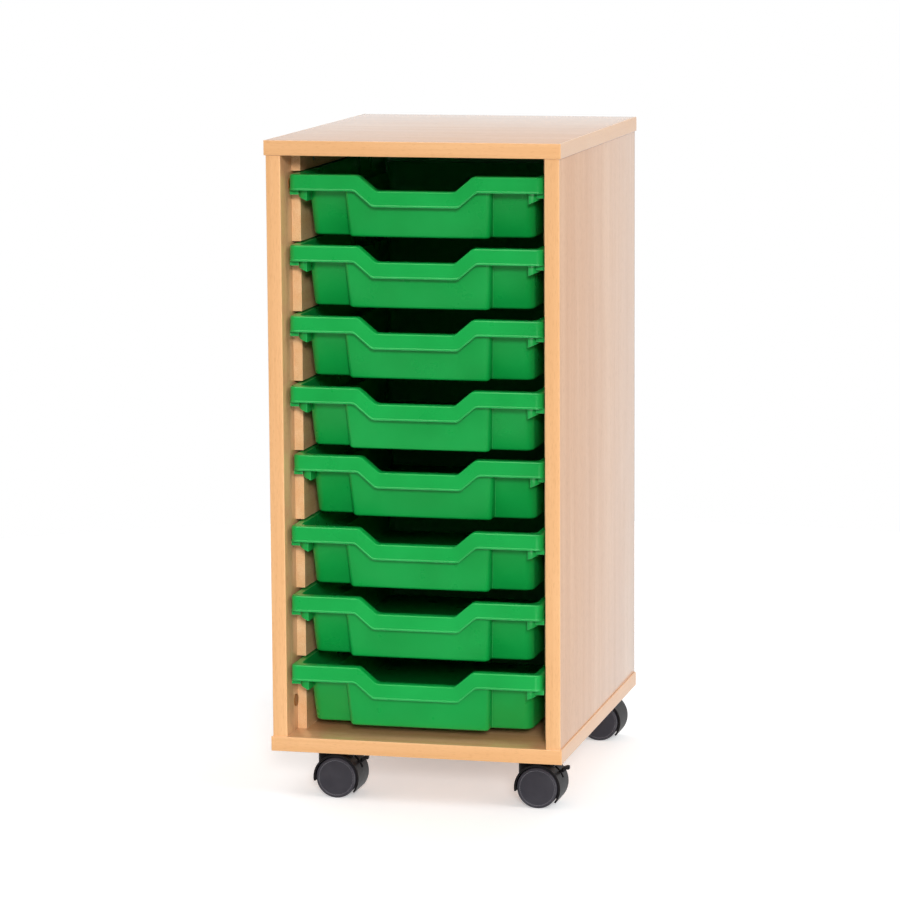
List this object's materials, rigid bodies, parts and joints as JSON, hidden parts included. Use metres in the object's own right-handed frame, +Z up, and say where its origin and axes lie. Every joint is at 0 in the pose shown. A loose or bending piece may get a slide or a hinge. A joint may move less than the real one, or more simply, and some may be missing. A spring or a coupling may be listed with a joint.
{
  "type": "classroom tray storage unit",
  "caption": "Mobile classroom storage unit: a single-column beech-effect carcass with shallow green plastic trays sliding on runner battens, on swivel castors with brakes.",
  "frame": {"origin": "on the floor, under the centre of the carcass", "axes": "+Z up, the open front with the trays faces -Y, +X is the right side seen from the front"},
  "size_m": [0.36, 0.46, 0.8],
  "materials": {
    "faced_board": "beech-effect melamine on chipboard, satin",
    "edging": "beech-effect edging strip, satin",
    "runner_batten": "planed and lacquered beech",
    "back_board": "black-faced fibreboard",
    "tray": "injection-moulded polypropylene, soft sheen",
    "dowel": "fluted beech dowel",
    "screw_steel": "zinc plated",
    "castor_plate": "black, satin",
    "castor_body": "moulded nylon, fine texture",
    "castor_wheel": "moulded nylon, smooth",
    "axle_steel": "ground steel"
  },
  "bodies": {
    "carcass": {"back_panel": "back_board", "back_panel_screws": "screw_steel", "base_panel": "faced_board", "base_panel_edging": "edging", "batten_screws": "screw_steel", "carcass_dowels": "dowel", "castor_front_left_plate": "castor_plate", "castor_front_right_plate": "castor_plate", "castor_rear_left_plate": "castor_plate", "castor_rear_right_plate": "castor_plate", "castor_screws": "screw_steel", "left_runner_batten_1": "runner_batten", "left_runner_batten_2": "runner_batten", "left_runner_batten_3": "runner_batten", "left_runner_batten_4": "runner_batten", "left_runner_batten_5": "runner_batten", "left_runner_batten_6": "runner_batten", "left_runner_batten_7": "runner_batten", "left_runner_batten_8": "runner_batten", "left_runner_batten_9": "runner_batten", "left_side_panel": "faced_board", "right_runner_batten_1": "runner_batten", "right_runner_batten_2": "runner_batten", "right_runner_batten_3": "runner_batten", "right_runner_batten_4": "runner_batten", "right_runner_batten_5": "runner_batten", "right_runner_batten_6": "runner_batten", "right_runner_batten_7": "runner_batten", "right_runner_batten_8": "runner_batten", "right_runner_batten_9": "runner_batten", "right_side_panel": "faced_board", "side_panel_edging": "edging", "top_panel": "faced_board", "top_panel_edging": "edging"},
    "castor_front_left_swivel_body": {"castor_front_left_axle": "axle_steel", "castor_front_left_hood": "castor_body"},
    "castor_front_left_brake_pedal_body": {"castor_front_left_brake_pedal": "castor_body"},
    "castor_front_left_front_wheel_body": {"castor_front_left_front_wheel": "castor_wheel"},
    "castor_front_left_rear_wheel_body": {"castor_front_left_rear_wheel": "castor_wheel"},
    "castor_front_right_swivel_body": {"castor_front_right_axle": "axle_steel", "castor_front_right_hood": "castor_body"},
    "castor_front_right_brake_pedal_body": {"castor_front_right_brake_pedal": "castor_body"},
    "castor_front_right_front_wheel_body": {"castor_front_right_front_wheel": "castor_wheel"},
    "castor_front_right_rear_wheel_body": {"castor_front_right_rear_wheel": "castor_wheel"},
    "castor_rear_left_swivel_body": {"castor_rear_left_axle": "axle_steel", "castor_rear_left_hood": "castor_body"},
    "castor_rear_left_front_wheel_body": {"castor_rear_left_front_wheel": "castor_wheel"},
    "castor_rear_left_rear_wheel_body": {"castor_rear_left_rear_wheel": "castor_wheel"},
    "castor_rear_right_swivel_body": {"castor_rear_right_axle": "axle_steel", "castor_rear_right_hood": "castor_body"},
    "castor_rear_right_front_wheel_body": {"castor_rear_right_front_wheel": "castor_wheel"},
    "castor_rear_right_rear_wheel_body": {"castor_rear_right_rear_wheel": "castor_wheel"},
    "tray_1": {"tray_1": "tray"},
    "tray_2": {"tray_2": "tray"},
    "tray_3": {"tray_3": "tray"},
    "tray_4": {"tray_4": "tray"},
    "tray_5": {"tray_5": "tray"},
    "tray_6": {"tray_6": "tray"},
    "tray_7": {"tray_7": "tray"},
    "tray_8": {"tray_8": "tray"}
  },
  "joints": [
    {"name": "tray_1_slide", "type": "slide", "parent": "carcass", "child": "tray_1", "axis": [0, -1, 0], "range_m": [-0.0085, 0.295]},
    {"name": "tray_2_slide", "type": "slide", "parent": "carcass", "child": "tray_2", "axis": [0, -1, 0], "range_m": [-0.0115, 0.292]},
    {"name": "tray_3_slide", "type": "slide", "parent": "carcass", "child": "tray_3", "axis": [0, -1, 0], "range_m": [-0.0145, 0.289]},
    {"name": "tray_4_slide", "type": "slide", "parent": "carcass", "child": "tray_4", "axis": [0, -1, 0], "range_m": [-0.0175, 0.286]},
    {"name": "tray_5_slide", "type": "slide", "parent": "carcass", "child": "tray_5", "axis": [0, -1, 0], "range_m": [-0.0045, 0.299]},
    {"name": "tray_6_slide", "type": "slide", "parent": "carcass", "child": "tray_6", "axis": [0, -1, 0], "range_m": [-0.0195, 0.284]},
    {"name": "tray_7_slide", "type": "slide", "parent": "carcass", "child": "tray_7", "axis": [0, -1, 0], "range_m": [-0.0225, 0.281]},
    {"name": "tray_8_slide", "type": "slide", "parent": "carcass", "child": "tray_8", "axis": [0, -1, 0], "range_m": [-0.0255, 0.278]},
    {"name": "castor_front_left_swivel", "type": "hinge", "parent": "carcass", "child": "castor_front_left_swivel_body", "pos_m": [-0.125, -0.184, 0.0575], "axis": [0, 0, 1], "continuous": true},
    {"name": "castor_front_left_front_wheel_spin", "type": "hinge", "parent": "castor_front_left_swivel_body", "child": "castor_front_left_front_wheel_body", "pos_m": [-0.105, -0.20005, 0.025], "axis": [0, 1, 0], "continuous": true},
    {"name": "castor_front_left_rear_wheel_spin", "type": "hinge", "parent": "castor_front_left_swivel_body", "child": "castor_front_left_rear_wheel_body", "pos_m": [-0.105, -0.16795, 0.025], "axis": [0, 1, 0], "continuous": true},
    {"name": "castor_front_left_brake_press", "type": "hinge", "parent": "castor_front_left_swivel_body", "child": "castor_front_left_brake_pedal_body", "pos_m": [-0.08847, -0.184, 0.03746], "axis": [0, 1, 0], "range_deg": [0, 15]},
    {"name": "castor_front_right_swivel", "type": "hinge", "parent": "carcass", "child": "castor_front_right_swivel_body", "pos_m": [0.125, -0.184, 0.0575], "axis": [0, 0, 1], "continuous": true},
    {"name": "castor_front_right_front_wheel_spin", "type": "hinge", "parent": "castor_front_right_swivel_body", "child": "castor_front_right_front_wheel_body", "pos_m": [0.145, -0.20005, 0.025], "axis": [0, 1, 0], "continuous": true},
    {"name": "castor_front_right_rear_wheel_spin", "type": "hinge", "parent": "castor_front_right_swivel_body", "child": "castor_front_right_rear_wheel_body", "pos_m": [0.145, -0.16795, 0.025], "axis": [0, 1, 0], "continuous": true},
    {"name": "castor_front_right_brake_press", "type": "hinge", "parent": "castor_front_right_swivel_body", "child": "castor_front_right_brake_pedal_body", "pos_m": [0.16153, -0.184, 0.03746], "axis": [0, 1, 0], "range_deg": [0, 15]},
    {"name": "castor_rear_left_swivel", "type": "hinge", "parent": "carcass", "child": "castor_rear_left_swivel_body", "pos_m": [-0.125, 0.184, 0.0575], "axis": [0, 0, 1], "continuous": true},
    {"name": "castor_rear_left_front_wheel_spin", "type": "hinge", "parent": "castor_rear_left_swivel_body", "child": "castor_rear_left_front_wheel_body", "pos_m": [-0.105, 0.16795, 0.025], "axis": [0, 1, 0], "continuous": true},
    {"name": "castor_rear_left_rear_wheel_spin", "type": "hinge", "parent": "castor_rear_left_swivel_body", "child": "castor_rear_left_rear_wheel_body", "pos_m": [-0.105, 0.20005, 0.025], "axis": [0, 1, 0], "continuous": true},
    {"name": "castor_rear_right_swivel", "type": "hinge", "parent": "carcass", "child": "castor_rear_right_swivel_body", "pos_m": [0.125, 0.184, 0.0575], "axis": [0, 0, 1], "continuous": true},
    {"name": "castor_rear_right_front_wheel_spin", "type": "hinge", "parent": "castor_rear_right_swivel_body", "child": "castor_rear_right_front_wheel_body", "pos_m": [0.145, 0.16795, 0.025], "axis": [0, 1, 0], "continuous": true},
    {"name": "castor_rear_right_rear_wheel_spin", "type": "hinge", "parent": "castor_rear_right_swivel_body", "child": "castor_rear_right_rear_wheel_body", "pos_m": [0.145, 0.20005, 0.025], "axis": [0, 1, 0], "continuous": true}
  ]
}
